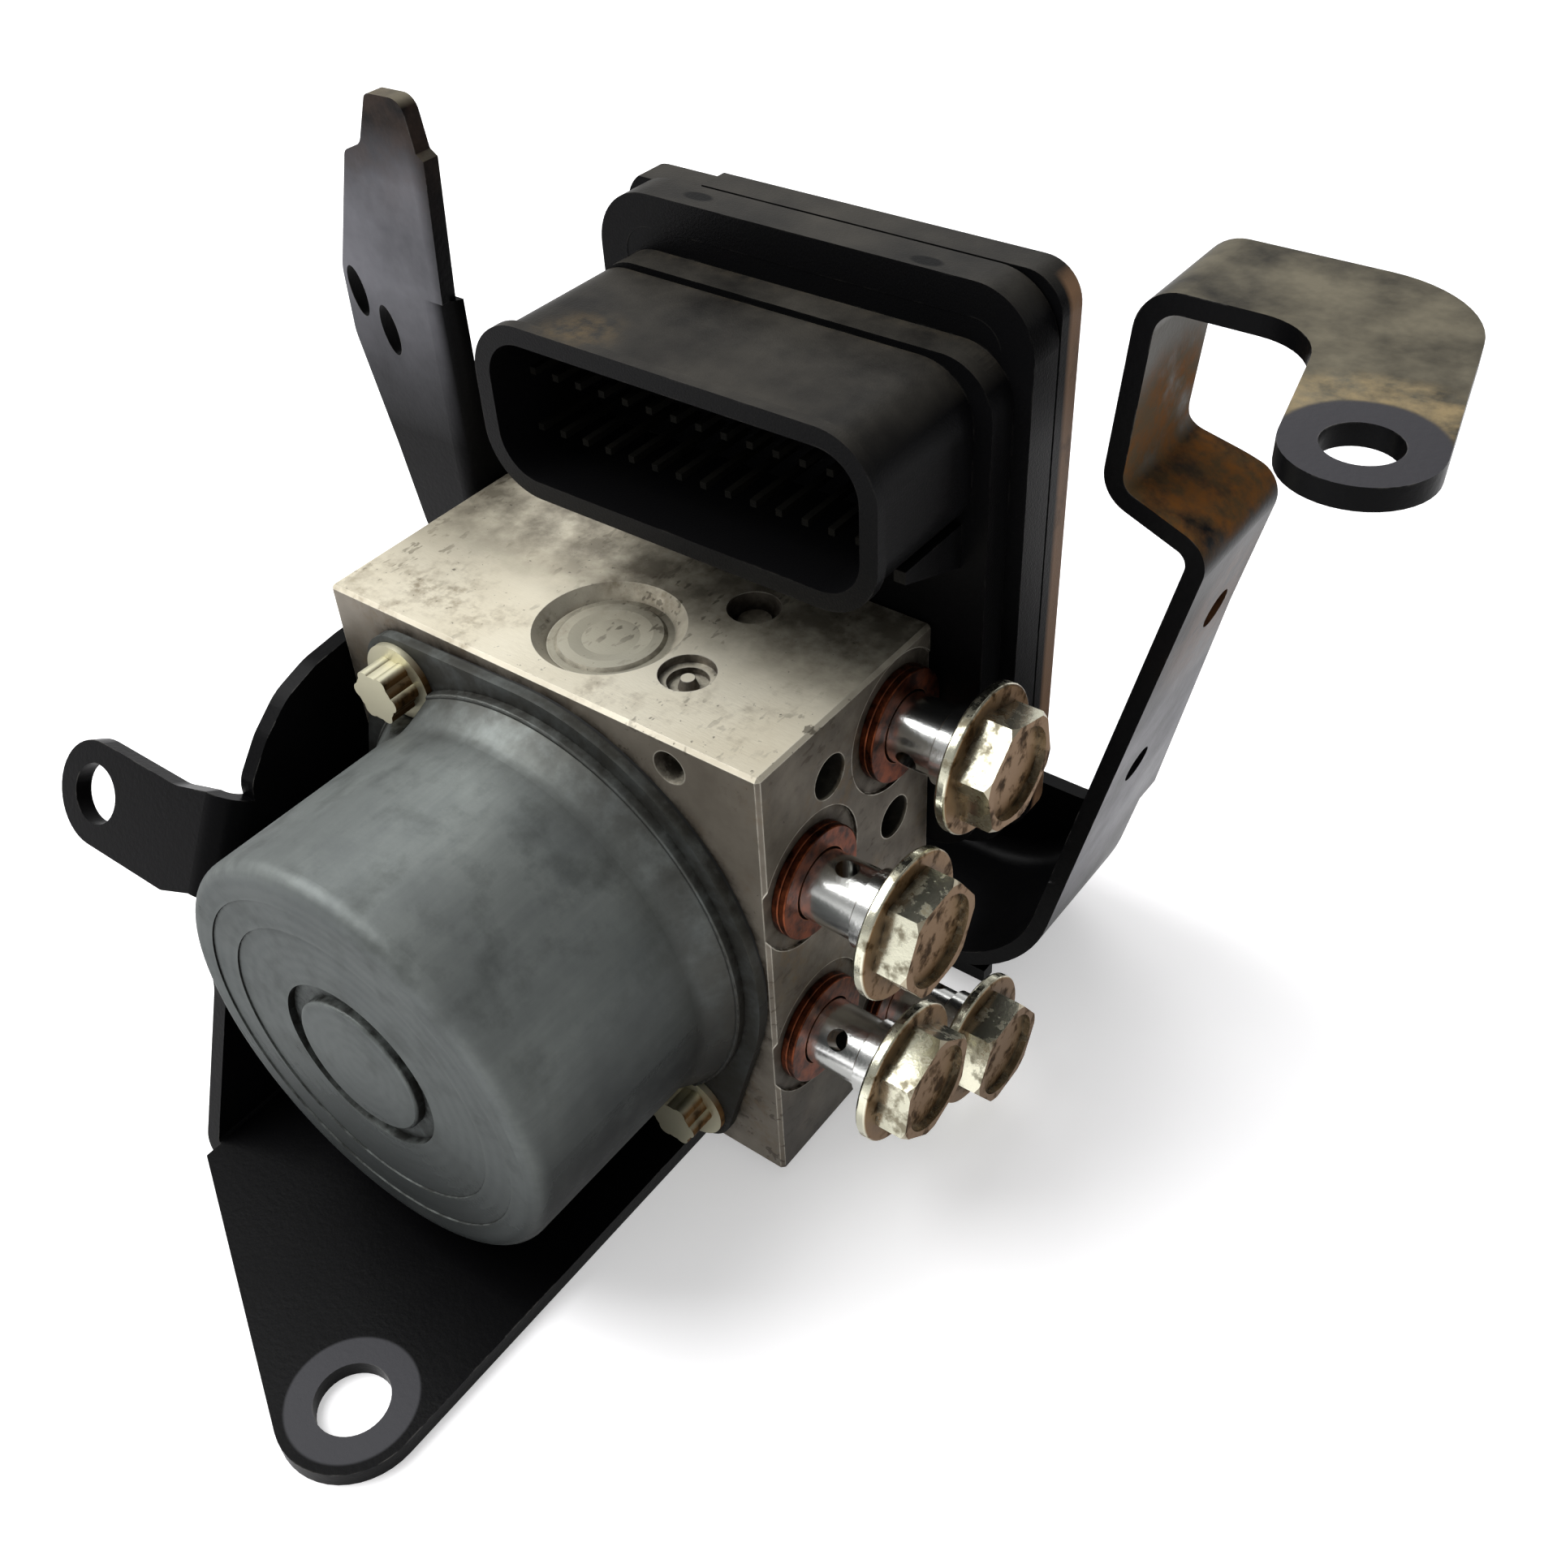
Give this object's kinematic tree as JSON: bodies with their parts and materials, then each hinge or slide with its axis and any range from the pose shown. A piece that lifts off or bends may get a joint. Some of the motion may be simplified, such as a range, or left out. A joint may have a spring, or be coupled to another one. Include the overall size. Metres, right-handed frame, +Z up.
{
  "type": "anti-lock brake hydraulic module",
  "caption": "Anti-lock brake module: aluminium valve block with pump motor, electronic control unit, banjo bolts and a folded steel mounting bracket.",
  "frame": {"origin": "centre of the bracket's front lug hole, at the underside of the base plate", "axes": "+X right, towards the banjo bolts; +Y from the motor towards the control unit; +Z up, square to the base plate"},
  "size_m": [0.1625, 0.146, 0.1293],
  "materials": {
    "black_painted_steel": "satin paint, worn",
    "black_plastic": "fine grain",
    "black_rubber": "matt",
    "bronze": "sintered",
    "brown_plastic": "moulded",
    "carbon": "matt",
    "cast_aluminium": "milled, stained",
    "circuit_laminate": "lacquered",
    "copper": "aged",
    "copper_wire": "enamelled",
    "ferrite": "matt",
    "motor_can_steel": "dull zinc plated",
    "plain_steel": "ground",
    "spring_steel": "bright",
    "tinned_brass": "tin plated",
    "zinc_plated_steel": "zinc plated, dirty"
  },
  "bodies": {
    "module": {"accumulator_cap_bottom": "cast_aluminium", "accumulator_cap_top": "cast_aluminium", "accumulator_spring_bottom": "spring_steel", "accumulator_spring_top": "spring_steel", "banjo_bolts": "zinc_plated_steel", "bearing_outer_ring": "plain_steel", "bleed_plug": "cast_aluminium", "bracket": "black_painted_steel", "bracket_screws": "zinc_plated_steel", "brush_holder": "brown_plastic", "brush_springs": "spring_steel", "can_bush": "bronze", "carbon_brushes": "carbon", "circuit_board": "circuit_laminate", "connector_pins": "tinned_brass", "copper_washers": "copper", "ecu_cover": "black_plastic", "ecu_gasket": "black_rubber", "ecu_housing": "black_plastic", "ecu_screws": "zinc_plated_steel", "hydraulic_block": "cast_aluminium", "motor_can": "motor_can_steel", "motor_gasket": "black_rubber", "motor_magnets": "ferrite", "motor_screws": "zinc_plated_steel", "pump_bore_cap": "cast_aluminium", "pump_spring_left": "spring_steel", "pump_spring_right": "spring_steel", "shaft_seal": "black_rubber", "tail_bush": "bronze", "valve_body_1": "plain_steel", "valve_body_2": "plain_steel", "valve_body_3": "plain_steel", "valve_body_4": "plain_steel", "valve_coil_1": "copper_wire", "valve_coil_2": "copper_wire", "valve_coil_3": "copper_wire", "valve_coil_4": "copper_wire"},
    "rotor": {"motor_shaft": "plain_steel", "armature_core": "plain_steel", "armature_windings": "copper_wire", "commutator": "copper", "bearing_inner_ring": "plain_steel"},
    "cam_follower": {"cam_ring": "plain_steel"},
    "ball_set": {"bearing_balls": "plain_steel"},
    "pump_right": {"pump_piston_right": "plain_steel"},
    "pump_left": {"pump_piston_left": "plain_steel"},
    "accumulator_top": {"accumulator_piston_top": "cast_aluminium"},
    "accumulator_bottom": {"accumulator_piston_bottom": "cast_aluminium"},
    "valve_1": {"valve_plunger_1": "plain_steel"},
    "valve_2": {"valve_plunger_2": "plain_steel"},
    "valve_3": {"valve_plunger_3": "plain_steel"},
    "valve_4": {"valve_plunger_4": "plain_steel"}
  },
  "joints": [
    {"name": "rotor_spin", "type": "hinge", "parent": "module", "child": "rotor", "pos_m": [-0.0109, 0.0592, 0.0393], "axis": [0, -1, 0], "continuous": true},
    {"name": "cam_ring_turn", "type": "hinge", "parent": "rotor", "child": "cam_follower", "pos_m": [-0.0109, 0.0725, 0.0403], "axis": [0, -1, 0], "continuous": true},
    {"name": "ball_orbit", "type": "hinge", "parent": "module", "child": "ball_set", "pos_m": [-0.0109, 0.0592, 0.0393], "axis": [0, -1, 0], "continuous": true},
    {"name": "pump_right_slide", "type": "slide", "parent": "module", "child": "pump_right", "axis": [1, 0, 0], "range_m": [0, 0.002], "stiffness_N_per_m": 1500, "springref_m": -0.003},
    {"name": "pump_left_slide", "type": "slide", "parent": "module", "child": "pump_left", "axis": [-1, 0, 0], "range_m": [0, 0.002], "stiffness_N_per_m": 1500, "springref_m": -0.003},
    {"name": "accumulator_top_slide", "type": "slide", "parent": "module", "child": "accumulator_top", "axis": [0, 0, 1], "range_m": [0, 0.007], "stiffness_N_per_m": 2500, "springref_m": -0.003, "deforming": ["accumulator_spring_top"]},
    {"name": "accumulator_bottom_slide", "type": "slide", "parent": "module", "child": "accumulator_bottom", "axis": [0, 0, -1], "range_m": [0, 0.007], "stiffness_N_per_m": 2500, "springref_m": -0.003, "deforming": ["accumulator_spring_bottom"]},
    {"name": "valve_1_lift", "type": "slide", "parent": "module", "child": "valve_1", "axis": [0, 1, 0], "range_m": [0, 0.00035], "stiffness_N_per_m": 1200, "springref_m": -0.0015},
    {"name": "valve_2_lift", "type": "slide", "parent": "module", "child": "valve_2", "axis": [0, 1, 0], "range_m": [0, 0.00035], "stiffness_N_per_m": 1200, "springref_m": -0.0015},
    {"name": "valve_3_lift", "type": "slide", "parent": "module", "child": "valve_3", "axis": [0, 1, 0], "range_m": [0, 0.00035], "stiffness_N_per_m": 1200, "springref_m": -0.0015},
    {"name": "valve_4_lift", "type": "slide", "parent": "module", "child": "valve_4", "axis": [0, 1, 0], "range_m": [0, 0.00035], "stiffness_N_per_m": 1200, "springref_m": -0.0015}
  ],
  "couplings": [
    {"joint": "cam_ring_turn", "follows": "rotor_spin", "ratio": -1},
    {"joint": "ball_orbit", "follows": "rotor_spin", "ratio": 0.38}
  ]
}
